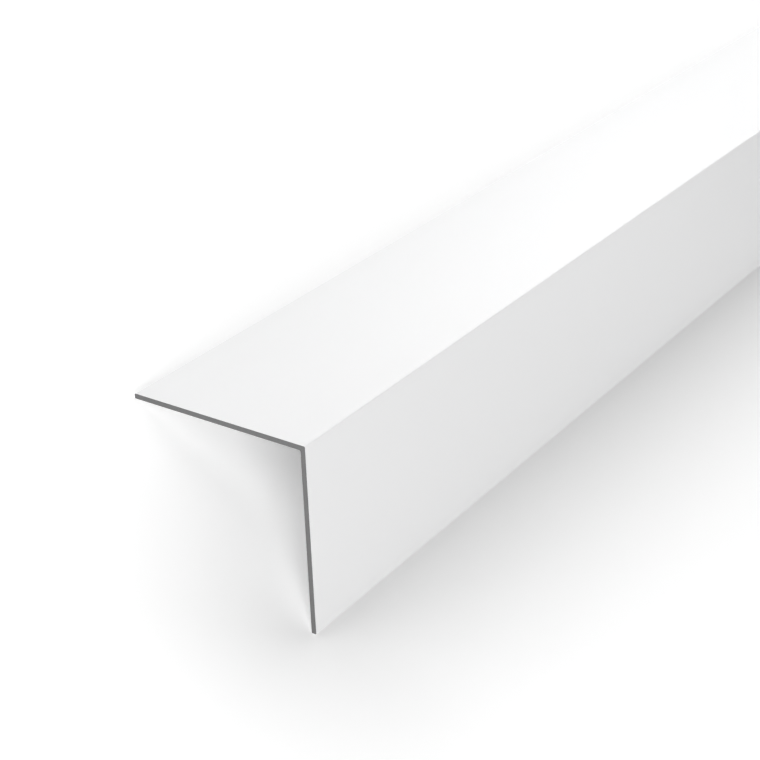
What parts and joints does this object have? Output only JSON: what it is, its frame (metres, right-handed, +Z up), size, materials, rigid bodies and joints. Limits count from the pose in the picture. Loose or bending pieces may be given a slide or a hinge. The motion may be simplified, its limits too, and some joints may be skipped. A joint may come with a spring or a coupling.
{
  "type": "corner guard moulding",
  "caption": "Long straight white angle trim: thin flat equal legs meeting at a crisp arris, fixed over a wall's outer corner to cover it and guard it from knocks.",
  "frame": {"origin": "on the floor, midway between the toes of the legs and midway along the length", "axes": "+Y along the stock, away from the cut end that the picture shows; +Z up, through the arris; the legs slope down to -X and to +X at 45 degrees"},
  "size_m": [0.0706, 1, 0.036],
  "materials": {
    "white_pvc": "satin"
  },
  "bodies": {
    "root": {"corner_guard": "white_pvc"}
  },
  "joints": []
}
